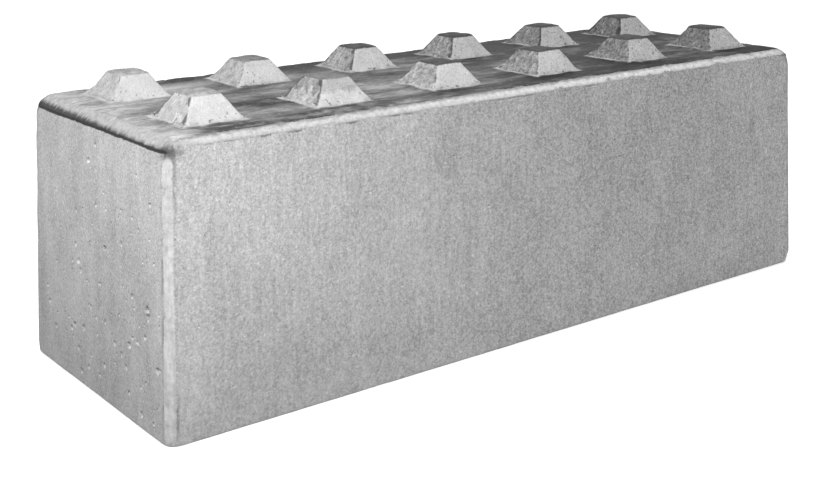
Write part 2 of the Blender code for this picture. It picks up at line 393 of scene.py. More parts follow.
def sink_pits(points, nominal, pits):
    """Dishes each pit in. Returns points and painted light: 1 at a pit's foot, -1 at its top."""
    light = np.zeros(len(points))
    for centre, inward, radius, depth in pits:
        near = np.flatnonzero((abs(nominal - centre) < radius * 1.2).all(1))
        across = np.linalg.norm(nominal[near] - centre, axis=1) / radius
        share = np.sqrt(np.clip(1 - across**2, 0, 1))
        points[near] += inward * (depth * share)[:, None]
        above = (nominal[near, 2] - centre[2]) / radius
        light[near] = np.where(share > 0, np.clip(-1.6 * above - 0.3, -1, 1), light[near])
    return points, light


# Mesh


def sliced_solid(node):
    """Points and triangles of a CAD node, welded and cut into even blocks to refine well."""
    bm = bmesh.new()
    bm.from_mesh(frame["nodes"][node].data)
    bmesh.ops.remove_doubles(bm, verts=bm.verts, dist=1e-6)
    bmesh.ops.dissolve_limit(bm, angle_limit=math.radians(0.05), verts=bm.verts, edges=bm.edges)
    low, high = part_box(node)
    for axis in range(3):
        normal = Vector([float(axis == other) for other in range(3)])
        cuts = round((high[axis] - low[axis]) / SLICE_STEP)
        for cut in range(1, cuts):
            place = normal * (low[axis] + (high[axis] - low[axis]) * cut / cuts)
            parts = bm.verts[:] + bm.edges[:] + bm.faces[:]
            bmesh.ops.bisect_plane(bm, geom=parts, plane_co=place, plane_no=normal, dist=1e-6)
    bmesh.ops.triangulate(bm, faces=bm.faces, quad_method="SHORT_EDGE", ngon_method="BEAUTY")
    bm.verts.index_update()
    points = np.array([vert.co for vert in bm.verts])
    triangles = np.array([[vert.index for vert in face.verts] for face in bm.faces])
    bm.free()
    return points, triangles


def split_once(points, triangles, pits):
    """Halves every edge that is too long for its place on the casting. The mesh stays closed."""
    sides = np.stack([triangles, np.roll(triangles, -1, 1)], 2).reshape(-1, 2)
    edges, which = np.unique(np.sort(sides, 1), axis=0, return_inverse=True)
    start, end = points[edges[:, 0]], points[edges[:, 1]]
    middle = (start + end) / 2
    long = np.linalg.norm(start - end, axis=1) > casting_edge_length(middle, pits)
    new_index = np.where(long, len(points) + np.cumsum(long) - 1, -1)
    points = np.vstack([points, middle[long]])
    halves = new_index[which.reshape(-1)].reshape(-1, 3)
    count = (halves >= 0).sum(1)
    # Turn each triangle so that a lone split side comes first, and a lone whole side comes last.
    first_split, first_whole = (halves >= 0).argmax(1), (halves < 0).argmax(1)
    turn = np.select([count == 1, count == 2], [first_split, first_whole + 1], 0)
    order = (turn[:, None] + np.arange(3)) % 3
    corners = np.take_along_axis(triangles, order, 1)
    halves = np.take_along_axis(halves, order, 1)
    a, b, c = corners.T
    ab, bc, ca = halves.T
    one, two, three = count == 1, count == 2, count == 3
    made = [corners[count == 0]]
    made += [np.stack(t, 1)[one] for t in ((a, ab, c), (ab, b, c))]
    made += [np.stack((ab, b, bc), 1)[two]]
    across_a = np.linalg.norm(points[a] - points[bc], axis=1)
    across_c = np.linalg.norm(points[c] - points[ab], axis=1)
    by_a = two & (across_a <= across_c)
    by_c = two & (across_a > across_c)
    made += [np.stack(t, 1)[by_a] for t in ((a, ab, bc), (a, bc, c))]
    made += [np.stack(t, 1)[by_c] for t in ((a, ab, c), (ab, bc, c))]
    made += [np.stack(t, 1)[three] for t in ((a, ab, ca), (ab, b, bc), (ca, bc, c), (ab, bc, ca))]
    return points, np.vstack(made), bool(long.any())


def coarser(finest, away):
    """An edge length that grows from its finest with the distance away."""
    return finest + EDGE_GROWTH * np.maximum(away, 0)


def casting_edge_length(points, pits):
    """The longest mesh edge wanted at each place on the skin. Inner hollows stay coarse."""
    x, y, z = points.T
    body = np.sort(points @ PLANE_NORMALS.T - PLANE_OFFSETS, 1)
    from_edge = body[:, -1] - body[:, -2]
    high = z > DECK_Z / 2
    finest = np.where(high, BEVEL_FINE_EDGE, FOOT_FINE_EDGE)
    upright = (abs(x) > END_X - 0.05) & (abs(y) > FLANK_Y - 0.05)
    finest = np.where(upright, BEVEL_FINE_EDGE, finest)
    length = coarser(finest, from_edge - 0.004)
    _, from_x, from_y = grid_place(points)
    off_stud = np.maximum(abs(from_x), abs(from_y)) - STUD_BASE / 2
    on_top = z > DECK_Z - 0.001
    ridges = np.sort(stud_distances(points), 1)
    from_ridge = np.minimum(ridges[:, -1] - ridges[:, -2], z - DECK_Z)
    from_ridge = np.where(z > DECK_Z + 0.0005, from_ridge, off_stud)
    stud_length = coarser(STUD_FINE_EDGE, from_ridge - 0.003)
    below = z < STUD_TOP_Z - DECK_Z + SOCKET_PLAY + 0.001
    socket_length = coarser(SOCKET_FINE_EDGE, off_stud - 0.008)
    under = below & (abs(y) < FLANK_Y - 0.02) & (abs(x) < END_X - 0.02)
    recess_length = coarser(RECESS_FINE_EDGE, recess_distance(points))
    near_deck = z > DECK_Z - 0.04
    regions = ((on_top, stud_length), (under, socket_length), (near_deck, recess_length))
    for inside, wanted in regions:
        length = np.minimum(length, np.where(inside, wanted, PLAIN_EDGE))
    length = np.minimum(length, pit_edge_length(points, pits, PLAIN_EDGE))
    return np.where(casting_distance(points) < -SKIN_DEPTH, np.inf, length)


def new_object(name, data):
    made = bpy.data.objects.new(name, data)
    bpy.context.scene.collection.objects.link(made)
    return made


def shade(mesh, sharp_angle):
    mesh.shade_smooth()
    mesh.set_sharp_from_angle(angle=math.radians(sharp_angle))


def new_mesh(name, points, faces, sharp_angle=50):
    mesh = bpy.data.meshes.new(name)
    mesh.from_pydata(points.tolist(), [], list(faces))
    mesh.validate()
    shade(mesh, sharp_angle)
    return mesh


def store_mask(mesh, name, values):
    mask = mesh.attributes.new(name, "FLOAT", "POINT")
    mask.data.foreach_set("value", np.clip(values, 0, 1).astype(np.float32))


def place_piece(mesh, finish, node):
    """Adds a piece, named as its mesh is, that stands for a CAD node and rides with the block."""
    piece = new_object(mesh.name, mesh)
    mesh.materials.append(finish)
    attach(piece, "root")
    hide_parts(node)


def casting_masks(points, pit_light):
    """What the concrete material can't tell from a point's place alone."""
    z = points[:, 2]
    on_stud = z > DECK_Z + 0.0008
    top_face = ~on_stud & (z > DECK_Z - 0.0008)
    cell, from_x, from_y = grid_place(points)
    off_stud = np.maximum(abs(from_x), abs(from_y)) - STUD_BASE / 2
    ragged = 0.005 * layered(points, 0.03, 90) + np.where(from_x < -STUD_BASE / 2, -0.0035, 0)
    soiled = ramp(lattice(cell, SOILED_SEED), -0.2, 0.6)
    apron = np.where(top_face, ramp(off_stud + ragged, 0.0060, 0.0030), 0)
    ridge = edge_closeness(stud_distances(points)[:, :2], 0.012)
    crown = ramp(z, STUD_TOP_Z - 0.005, STUD_TOP_Z - 0.002)
    return {
        "deck": np.where(top_face, 1.0, 0.0),
        "stud": np.where(on_stud, 1.0, apron),
        "crown": on_stud * crown,
        "ridge": on_stud * ridge,
        "soiled": on_stud * soiled,
        "root": np.exp(-np.maximum(off_stud, 0) / 0.012),
        "pit_painted_highlight": pit_light,
        "pit_painted_shade": -pit_light,
    }


def build_casting(finish):
    pits = air_pits()
    points, triangles = sliced_solid("block_casting")
    for _ in range(MOST_SPLITS):
        points, triangles, split = split_once(points, triangles, pits)
        if not split:
            break
    skin = np.flatnonzero(casting_distance(points) > -SKIN_DEPTH)
    nominal = points[skin]
    softness, bite = wear(nominal)
    worn = settle_onto(nominal, softness, bite)
    worn, skin_light = sink_pits(worn, nominal, pits)
    points[skin] = worn
    pit_light = np.zeros(len(points))
    pit_light[skin] = skin_light
    mesh = new_mesh("concrete_casting", points, triangles)
    nominal_all = points.copy()
    nominal_all[skin] = nominal
    for name, values in casting_masks(nominal_all, pit_light).items():
        store_mask(mesh, name, values)
    place_piece(mesh, finish, "block_casting")


# Materials. Their bare numbers are lengths in metres, or tones and shares.


class Graph:
    """A short way to write a material whose tones are plain numbers from black to white."""

    def __init__(self, name):
        self.material = bpy.data.materials.new(name)
        self.material.use_nodes = True
        self.nodes = self.material.node_tree.nodes
        self.links = self.material.node_tree.links
        self.shader = self.nodes["Principled BSDF"]
        self.place = self.node("TexCoord").outputs["Object"]
        self.axes = self.split(self.place)

    def feed(self, socket, value):
        if isinstance(value, bpy.types.NodeSocket):
            self.links.new(value, socket)
        elif value is not None:
            socket.default_value = value

    def node(self, kind, *values, **settings):
        """A new node with settings made and its first inputs fed. None leaves an input alone."""
        node = self.nodes.new(f"ShaderNode{kind}")
        for name, setting in settings.items():
            setattr(node, name, setting)
        for socket, value in zip(node.inputs, values):
            self.feed(socket, value)
        return node

    def math(self, operation, first, second=0.0):
        return self.node("Math", first, second, operation=operation).outputs[0]

    def add(self, first, second):
        return self.math("ADD", first, second)

    def less(self, first, second):
        return self.math("SUBTRACT", first, second)

    def times(self, first, second):
        return self.math("MULTIPLY", first, second)

    def more(self, tone, value, share):
        """The tone with a share of a value added to it."""
        return self.add(tone, self.times(value, share))

    def dim(self, tone, where, share):
        """The tone, times share where a mask is 1 and untouched where it is 0."""
        return self.times(tone, self.mix(where, 1.0, share))

    def along(self, left, right):
        """A value that goes from left to right down the whole length of the block."""
        return self.ramp(self.axes[0], -END_X, END_X, left, right)

    def noise(self, size, detail=2.0, rough=0.5, stretch=(1, 1, 1)):
        """Noise about 0, from about -0.5 to 0.5, whose features are about size metres across."""
        scaled = self.vector("MULTIPLY", self.place, [1 / (size * share) for share in stretch])
        node = self.node("TexNoise", scaled, None, 1.0, detail, rough)
        return self.less(node.outputs["Fac"], 0.5)

    def ramp(self, value, low, high, out_low=0.0, out_high=1.0):
        ends = (low, high, out_low, out_high) if low <= high else (high, low, out_high, out_low)
        return self.node("MapRange", value, *ends, interpolation_type="SMOOTHSTEP").outputs[0]

    def mix(self, share, first, second):
        return self.node("Mix", share, None, first, second, data_type="FLOAT").outputs[0]

    def vector(self, operation, first, second=(0, 0, 0), output=0):
        return self.node("VectorMath", first, second, operation=operation).outputs[output]

    def plane(self, normal, offset):
        """Distance outside a bevel, mirrored to all four quarters: 0 on it, negative within."""
        folded = self.vector("ABSOLUTE", self.place)
        along_normal = self.vector("DOT_PRODUCT", folded, normal, "Value")
        return self.less(along_normal, offset)

    def split(self, vector):
        return self.node("SeparateXYZ", vector).outputs

    def mask(self, name):
        return self.node("Attribute", attribute_name=name).outputs["Fac"]

    def bump(self, height, depth):
        """Depth is how many metres a height of 1 stands for."""
        node = self.node("Bump")
        for name, value in (("Strength", 1.0), ("Distance", depth), ("Height", height)):
            self.feed(node.inputs[name], value)
        self.feed(self.shader.inputs["Normal"], node.outputs["Normal"])

    def finish(self, tone, roughness, metallic=0.0):
        looks = {"Roughness": roughness, "Metallic": metallic, "Base Color": tone}
        for name, value in looks.items():
            self.feed(self.shader.inputs[name], value)
        return self.material


def bevel_plane(setback, drop, axis):
    """Normal and offset of a top bevel, for plane(). axis is 0 on the ends and 1 on the flanks."""
    normal = Vector((0, 0, setback))
    normal[axis] = drop
    normal.normalize()
    reach = (END_X, FLANK_Y)[axis]
    return tuple(normal), normal[axis] * reach + normal.z * (DECK_Z - drop)


# Noise on the formed faces: size, detail, roughness, stretch, then its share on flanks and on ends
WALL_NOISE = (
    (0.22, 4.0, 0.6, (1, 1, 1), 0.13, 0.13),
    (0.045, 3.0, 0.6, (1, 1, 1.6), 0.07, 0.08),
    (0.060, 3.0, 0.55, (1, 1, 3.5), 0.03, 0.16),
    (0.012, 2.0, 0.6, (1.3, 1.3, 1), 0.055, 0.03),
    (0.009, 3.0, 0.6, (1, 1, 13), 0.12, 0.07),
    (0.0034, 2.0, 0.8, (1.2, 1.2, 1), 0.40, 0.44),
    (0.0050, 2.0, 0.6, (1.1, 1.1, 1.6), 0.15, 0.06),
)
FINE_NOISE = 0.006


def wall_tone(g, end_face):
    """Formed faces: cloudy grey, with upright streaks and a sandy grain, stronger far away."""
    x, _, z = g.axes
    far = g.ramp(x, -END_X * 0.8, END_X * 0.4, 1.0, 1.6)
    tone = WALL_TONE
    for *look, flank_share, end_share in WALL_NOISE:
        layer = g.noise(*look)
        if look[0] < FINE_NOISE:
            layer = g.times(layer, far)
        tone = g.more(tone, layer, g.mix(end_face, flank_share, end_share))
    bright_specks = g.ramp(g.noise(0.0050, 2.0, 0.5, (1.6, 1.6, 1)), 0.14, 0.21)
    dark_specks = g.ramp(g.noise(0.0075, 2.0, 0.6), -0.16, -0.24)
    tone = g.more(tone, bright_specks, 0.08)
    tone = g.dim(tone, dark_specks, 0.62)
    # Painted shade: darker low at the left end and to the right, ends a touch darker than flanks.
    painted_low_shade = g.ramp(x, -END_X, 0.0, 0.70, 1.04)
    tone = g.times(tone, g.mix(g.ramp(z, 0.0, DECK_Z * 0.8), painted_low_shade, 1.0))
    tone = g.times(tone, g.ramp(x, -END_X, 0.05, 1.06, 0.75))
    tone = g.times(tone, g.mix(end_face, 1.04, 1.01))
    return g.times(tone, g.ramp(x, END_X * 0.4, END_X, 0.96, 1.06))


def stud_tone(g, blotch):
    """Studs: pale, fading along the block, grime, mottled painted shade on left faces, dark crowns.
    """
    x, y, z = g.axes
    tone = g.more(g.along(0.46, 0.34), blotch, 0.22)
    normal = g.split(g.node("NewGeometry").outputs["Normal"])
    # Painted shade: faces turned to -x are darkened, mottled, and more so towards the right.
    left_face = g.ramp(normal[0], -0.25, -0.6)
    mottle = g.noise(0.017, 4.0, 0.7)
    left_shade_mottle = g.ramp(g.add(mottle, g.along(-0.05, 0.16)), -0.26, 0.20)
    dim = g.along(0.62, 0.37)
    speckle = g.noise(0.0036, 3.0, 0.7)
    tone = g.more(tone, speckle, g.ramp(x, -END_X, END_X * 0.7, 0.30, 0.75))
    more_holes = g.ramp(x, -END_X * 0.2, END_X * 0.6, 0.0, -0.04)
    holes = g.ramp(g.add(g.noise(0.0105, 1.0, 0.5, (0.8, 0.8, 1.5)), more_holes), -0.195, -0.25)
    tone = g.dim(tone, holes, 0.50)
    tone = g.dim(tone, g.times(left_face, left_shade_mottle), dim)
    pocks = g.times(g.noise(0.008, 4.0, 0.75), g.ramp(x, -END_X, END_X * 0.3, 1.1, 3.4))
    tone = g.dim(tone, left_face, g.add(1.0, pocks))
    soiled = g.mask("soiled")
    low_down = g.ramp(z, DECK_Z + 0.032, DECK_Z + 0.006)
    ridge_shift = g.more(g.times(blotch, 2.2), soiled, g.more(0.26, low_down, 0.34))
    ridge = g.ramp(g.add(g.mask("ridge"), ridge_shift), 0.84, 1.15)
    tone = g.dim(tone, g.times(ridge, left_face), 0.30)
    upper = g.ramp(g.more(z, mottle, 0.06), DECK_Z + 0.018, DECK_Z + 0.034)
    upper = g.times(g.times(upper, g.ramp(soiled, 0.75, 0.95)), g.ramp(y, 0.0, -0.05))
    tone = g.dim(tone, g.times(upper, g.more(0.75, mottle, 2.0)), 0.62)
    crown = g.ramp(g.more(g.mask("crown"), mottle, 0.5), 0.62, 0.92)
    crown_tone = g.ramp(x, -END_X, -0.1, 0.30, 0.050)
    tone = g.mix(crown, tone, g.times(crown_tone, g.more(1.0, mottle, 2.2)))
    # Painted shade where each stud meets the deck.
    foot = g.ramp(g.more(z, blotch, 0.03), DECK_Z + 0.006, DECK_Z + 0.0005)
    tone = g.dim(tone, foot, 0.82)
    low = g.ramp(z, DECK_Z + 0.011, DECK_Z + 0.006)
    voids = g.times(low, g.ramp(g.noise(0.011, 2.0), 0.13, 0.19))
    return g.dim(tone, voids, 0.45)


def deck_tone(g, blotch):
    """Deck: weathered dark, lengthwise smears, painted sheen flecks, palest at the left end."""
    x, y, _ = g.axes
    smears = g.noise(0.035, 5.0, 0.65, (4, 1, 1))
    # Painted sheen: the pale left end of the deck reaches further along at the back.
    back_sheen = g.ramp(y, 0.0, FLANK_Y, 0.0, 0.35)
    left = g.ramp(g.more(g.less(x, back_sheen), smears, 0.3), -0.62, -0.88)
    dark = g.ramp(x, -END_X / 2, END_X / 3, 0.145, 0.030)
    tone = g.mix(left, dark, 0.34)
    clouds = g.noise(0.10, 3.0, 0.6, (1.6, 1, 1))
    tone = g.times(tone, g.more(1.0, clouds, g.mix(left, 4.4, 1.9)))
    tone = g.times(tone, g.more(1.0, smears, g.mix(left, 3.2, 1.7)))
    film = g.ramp(g.more(clouds, smears, 0.6), 0.0, 0.16)
    tone = g.more(tone, film, g.ramp(x, -END_X / 2, END_X / 3, 0.0, 0.06))
    tone = g.math("MAXIMUM", tone, 0.022)
    tone = g.times(tone, g.more(1.0, g.noise(0.009, 3.0, 0.7, (2.2, 1, 1)), 1.6))
    lines = g.ramp(g.noise(0.022, 3.0, 0.7, (6, 0.5, 1)), -0.10, -0.18)
    tone = g.dim(tone, lines, 0.45)
    strip = g.ramp(g.more(g.math("ABSOLUTE", y), smears, 0.06), 0.212, 0.232)
    strip = g.times(strip, g.ramp(x, -END_X + 0.03, -END_X + 0.13))
    strip = g.times(strip, g.ramp(g.add(g.times(blotch, 0.8), smears), 0.16, -0.10, 0.35, 1.0))
    tone = g.dim(tone, strip, g.ramp(x, -END_X / 2, -END_X / 4, 0.20, 0.50))
    back_edge = g.ramp(g.more(y, smears, 0.06), 0.15, 0.23)
    tone = g.dim(tone, g.times(back_edge, g.ramp(x, -0.72, -0.55)), 0.25)
    # Painted sheen: bright flecks drawn out along the block.
    sheen_fleck = g.ramp(g.noise(0.006, 3.0, 0.6, (2, 1, 1)), 0.14, 0.22)
    tone = g.more(tone, sheen_fleck, g.along(0.22, 0.07))
    smear = g.ramp(g.more(g.mask("root"), smears, 1.5), 0.55, 1.05)
    tone = g.mix(smear, tone, g.along(0.22, 0.08))
    # Painted shade: nearly black round the foot of each stud.
    root_shade = g.ramp(g.more(g.mask("root"), blotch, 1.2), 0.85, 1.15)
    return g.mix(root_shade, tone, 0.045)


def bevel_tone(g, tone, crust):
    """Bevels: pale paste, painted shade low on the ends and a grey lower part along the flanks."""
    x, y, z = g.axes
    end_bevel = g.ramp(g.plane(*bevel_plane(*END_BEVEL, 0)), -0.0032, -0.0018)
    lapping = g.more(g.times(g.noise(0.045, 5.0, 0.75, (1.8, 1, 1)), 0.032), g.mask("deck"), -0.002)
    side_bevel = g.ramp(g.add(g.plane(*bevel_plane(*SIDE_BEVEL, 1)), lapping), -0.0036, -0.0012)
    half_turn = math.sqrt(0.5)
    corner = g.plane((half_turn, half_turn, 0), half_turn * (END_X + FLANK_Y - CORNER_BEVEL))
    worn = g.more(corner, crust, 0.0015)
    border = g.times(g.ramp(worn, -0.0080, -0.0025), g.ramp(worn, -0.0010, -0.0025))
    cracked = g.ramp(g.noise(0.035, 3.0, 0.6, (1, 1, 2.5)), 0.02, 0.12)
    tone = g.dim(tone, border, g.mix(cracked, 0.86, 0.55))
    drawn = g.noise(0.010, 4.0, 0.65, (1, 1, 7))
    upright = g.add(PALE_TONE, g.more(g.times(crust, 0.34), drawn, 0.40))
    # Painted shade: the upright corner chamfer darker towards the bottom.
    upright = g.times(upright, g.ramp(z, 0.0, DECK_Z, 0.70, 0.92))
    tone = g.mix(g.ramp(worn, -0.0026, -0.0002), tone, upright)
    marks = g.noise(0.010, 4.0, 0.7, (1, 0.6, 1))
    pale = g.add(PALE_TONE, g.more(g.times(crust, 0.24), marks, 0.44))
    pale = g.times(pale, g.ramp(x, -END_X, END_X / 2, 0.94, 1.20))
    near_corner = g.ramp(g.more(worn, crust, 0.05), -0.036, -0.006)
    pale = g.dim(pale, near_corner, 0.70)
    below_deck = g.less(DECK_Z, z)
    fallen = g.times(below_deck, 1 / END_BEVEL[1])
    # Painted shade on the lower part of the end bevels.
    streaked = g.more(fallen, g.noise(0.012, 3.0, 0.7, (4, 1, 4)), 0.55)
    start = g.ramp(y, FLANK_Y, -FLANK_Y, 0.26, 0.56)
    shade = g.ramp(g.less(streaked, start), 0.0, 0.42)
    tone = g.mix(end_bevel, tone, g.dim(pale, shade, 0.13))
    scratches = g.ramp(g.noise(0.009, 3.0, 0.7, (3, 0.45, 3)), -0.10, -0.20)
    tone = g.dim(tone, g.times(scratches, end_bevel), 0.62)
    # Painted shadow: a dark line along the foot of the end bevels.
    shadow_line = g.times(g.ramp(fallen, 0.80, 0.92), g.ramp(g.more(fallen, crust, 0.2), 1.14, 1.04))
    shadow_line = g.times(shadow_line, g.ramp(g.math("ABSOLUTE", x), END_X - 0.014, END_X - 0.005))
    tone = g.mix(shadow_line, tone, 0.02)
    side_fallen = g.more(g.times(below_deck, 1 / SIDE_BEVEL[1]), crust, 0.35)
    seam = g.times(g.ramp(side_fallen, 0.92, 1.12), g.ramp(side_fallen, 1.50, 1.25))
    broken = g.ramp(g.noise(0.05, 3.0, 0.6), -0.12, 0.06)
    seam = g.times(seam, g.mix(broken, 0.60, 1.0))
    side_tone = g.times(pale, g.ramp(side_fallen, 0.0, 0.45, 0.50, 1.10))
    side_tone = g.times(side_tone, g.ramp(side_fallen, 0.55, 1.0, 1.0, 0.74))
    side_tone = g.mix(seam, side_tone, g.times(pale, 0.34))
    side_tone = g.mix(g.ramp(side_fallen, 1.25, 1.50), side_tone, g.times(pale, 0.80))
    tone = g.mix(side_bevel, tone, side_tone)
    ragged = g.times(crust, 0.024)
    smudge = g.times(g.ramp(g.add(worn, ragged), -0.020, -0.002), g.ramp(below_deck, 0.042, 0.022))
    smudge = g.times(smudge, g.ramp(g.add(below_deck, ragged), 0.003, 0.012))
    return g.dim(tone, smudge, 0.34)


def concrete():
    g = Graph("cast_concrete")
    folded = g.split(g.vector("ABSOLUTE", g.place))
    end_face = g.ramp(folded[0], END_X - 0.006, END_X - 0.003)
    stud, deck = g.mask("stud"), g.mask("deck")
    blotch = g.noise(0.030, 4.0, 0.65)
    crust = g.noise(0.014, 4.0, 0.65)
    tone = wall_tone(g, end_face)
    tone = g.mix(deck, tone, deck_tone(g, blotch))
    tone = bevel_tone(g, tone, crust)
    tone = g.mix(stud, tone, stud_tone(g, blotch))
    # Painted light in the air pits: shade at each pit's top, a highlight at its foot.
    tone = g.dim(tone, g.mask("pit_painted_shade"), 0.40)
    tone = g.dim(tone, g.mask("pit_painted_highlight"), 2.1)
    tone = g.math("MAXIMUM", tone, 0.015)

    grain = g.noise(0.0065, 3.0, 0.7)
    sand = g.noise(0.0022, 2.0, 0.6)
    relief = g.noise(0.0052, 2.0, 0.6, (1.1, 1.1, 1.7))
    grain = g.more(g.times(grain, 0.6), relief, 0.5)
    coarse = g.mix(end_face, 1.0, 0.4)
    coarse = g.mix(deck, coarse, 0.5)
    height = g.more(g.times(grain, coarse), sand, 0.55)
    g.bump(height, 0.0030)
    roughness = g.more(0.88, blotch, 0.15)
    roughness = g.mix(deck, roughness, g.more(0.68, crust, 0.3))
    g.feed(g.shader.inputs["Specular IOR Level"], g.mix(deck, 0.3, 0.12))
    return g.finish(tone, roughness)


def rolled_steel():
    g = Graph("ribbed_bar_steel")
    rust = g.ramp(g.noise(0.02, 4.0, 0.65), -0.08, 0.16)
    scale = g.noise(0.004, 3.0, 0.6)
    dark = g.more(0.17, scale, 0.10)
    hue = g.node("Mix", rust, data_type="RGBA")
    hue.inputs[6].default_value = (0.17, 0.16, 0.15, 1)
    hue.inputs[7].default_value = (0.24, 0.12, 0.07, 1)
    strength = g.times(dark, 5.9)
    tone = g.node("VectorMath", hue.outputs[2], None, None, strength, operation="SCALE").outputs[0]
    g.bump(scale, 0.0002)
    return g.finish(tone, g.mix(rust, 0.5, 0.9), g.mix(rust, 0.9, 0.1))


def forged_steel():
    g = Graph("forged_anchor_steel")
    scale = g.noise(0.004, 4.0, 0.6)
    worn = g.noise(0.015, 3.0, 0.5)
    g.bump(scale, 0.0002)
    tone = g.add(0.26, g.more(g.times(scale, 0.15), worn, 0.12))
    return g.finish(tone, g.more(0.48, worn, 0.3), 0.9)


def fibre_cement():
    g = Graph("fibre_cement")
    grain = g.noise(0.0015, 3.0, 0.6)
    fibres = g.noise(0.0008, 2.0, 0.5, (1, 12, 1))
    clouds = g.noise(0.012, 3.0, 0.5)
    g.bump(g.add(grain, fibres), 0.0003)
    tone = g.add(0.42, g.more(g.times(clouds, 0.18), fibres, 0.12))
    return g.finish(tone, g.more(0.85, clouds, 0.2))


def spacer_plastic():
    g = Graph("spacer_plastic")
    grain = g.noise(0.0006, 2.0, 0.5)
    dust = g.noise(0.010, 4.0, 0.6)
    g.bump(grain, 0.00006)
    tone = g.more(0.075, g.ramp(dust, 0.0, 0.3), 0.08)
    return g.finish(tone, g.more(0.5, dust, 0.4))


# Pieces cast into the concrete

RIB_PITCH = 0.010
RINGS_A_RIB = 4
BAR_RIB = 0.0006
LINK_RIB = 0.0004
BAR_SIDES = 12
LINK_BEND_RADIUS = 0.016
TURNED_SIDES = 48
TURNED_SHARP_ANGLE = 40
ANCHOR_HEAD_RADIUS = 0.013
ANCHOR_CROWN_FLAT = 0.0006
ANCHOR_NECK_DROP = 0.02
ANCHOR_SHANK_RADIUS = 0.007
ANCHOR_FOOT_THICKNESS = 0.005
CHAIR_TOP_SHARE = 0.55
CHAIR_WAIST = 0.0015
CHAIR_WAIST_STEPS = 6
WHEEL_SECTORS = 72
WHEEL_SPOKES = 6
WHEEL_BORE = 0.0046
WHEEL_HUB = 0.009
WHEEL_RIM = 0.005
WHEEL_SCALLOP = 0.0012


def ribbed_rod(name, path, across, radius, rib, closed):
    """A rolled bar along a path of even steps: slanting ribs on two sides, and seams between."""
    count = len(path)
    ahead = np.roll(path, -1, 0) - np.roll(path, 1, 0)
    if not closed:
        ahead[0], ahead[-1] = path[1] - path[0], path[-1] - path[-2]
    ahead /= np.linalg.norm(ahead, axis=1)[:, None]
    other = np.cross(ahead, across)
    travelled = np.arange(count) / RINGS_A_RIB
    rings = []
    for side in range(BAR_SIDES):
        angle = 2 * math.pi * side / BAR_SIDES
        round_half = angle % math.pi
        lead = travelled + (1 if angle < math.pi else -1) * round_half / 4
        ridge = np.clip(np.cos(2 * math.pi * lead), 0, 1) * math.sin(round_half)
        seam = 0.5 * (math.sin(round_half) < 0.2)
        reach = (radius - rib + rib * np.maximum(ridge, seam))[:, None]
        rings.append(path + reach * (math.cos(angle) * other + math.sin(angle) * across))
    points = np.stack(rings, 1).reshape(-1, 3)
    faces = []
    for ring in range(count if closed else count - 1):
        here, after = ring * BAR_SIDES, (ring + 1) % count * BAR_SIDES
        for side in range(BAR_SIDES):
            beside = (side + 1) % BAR_SIDES
            faces.append((here + side, here + beside, after + beside, after + side))
    if not closed:
        faces.append(tuple(range(BAR_SIDES))[::-1])
        faces.append(tuple((count - 1) * BAR_SIDES + side for side in range(BAR_SIDES)))
    return new_mesh(name, points, faces, 60)


def build_long_bar(node, finish):
    low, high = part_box(node)
    rings = round((high.x - low.x) / RIB_PITCH * RINGS_A_RIB) + 1
    path = np.zeros((rings, 3))
    path[:, 0] = np.linspace(low.x, high.x, rings)
    path[:, 1:] = (low.y + high.y) / 2, (low.z + high.z) / 2
    radius = (high.z - low.z) / 2
    mesh = ribbed_rod(f"steel_{node}", path, np.array([0.0, 0, 1]), radius, BAR_RIB, False)
    place_piece(mesh, finish, node)


def build_link(node, finish):
    """A closed link: a rounded rectangle in the plane across the block."""
    low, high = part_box(node)
    radius = (high.x - low.x) / 2
    half_y = (high.y - low.y) / 2 - radius
    half_z = (high.z - low.z) / 2 - radius
    straight_y = 2 * (half_y - LINK_BEND_RADIUS)
    straight_z = 2 * (half_z - LINK_BEND_RADIUS)
    length = 2 * (straight_y + straight_z) + 2 * math.pi * LINK_BEND_RADIUS
    rings = round(length / RIB_PITCH) * RINGS_A_RIB
    steps = [length * ring / rings for ring in range(rings)]
    path = np.array([rounded_rectangle(step, straight_y, straight_z) for step in steps])
    path += np.array((low + high) / 2)
    mesh = ribbed_rod(f"steel_{node}", path, np.array([1.0, 0, 0]), radius, LINK_RIB, True)
    place_piece(mesh, finish, node)


def rounded_rectangle(along, straight_y, straight_z):
    """The point a given way round the outline, from the start of its right side going up."""
    radius = LINK_BEND_RADIUS
    for quarter, (side_y, side_z) in enumerate(((1, 1), (-1, 1), (-1, -1), (1, -1))):
        straight = (straight_z, straight_y)[quarter % 2]
        if along < straight + math.pi / 2 * radius or quarter == 3:
            break
        along -= straight + math.pi / 2 * radius
    behind = max(straight - along, 0)
    turn = math.pi / 2 * quarter + max(along - straight, 0) / radius
    y = side_y * straight_y / 2 + radius * math.cos(turn) + behind * math.sin(turn)
    z = side_z * straight_z / 2 + radius * math.sin(turn) - behind * math.cos(turn)
    return 0.0, y, z


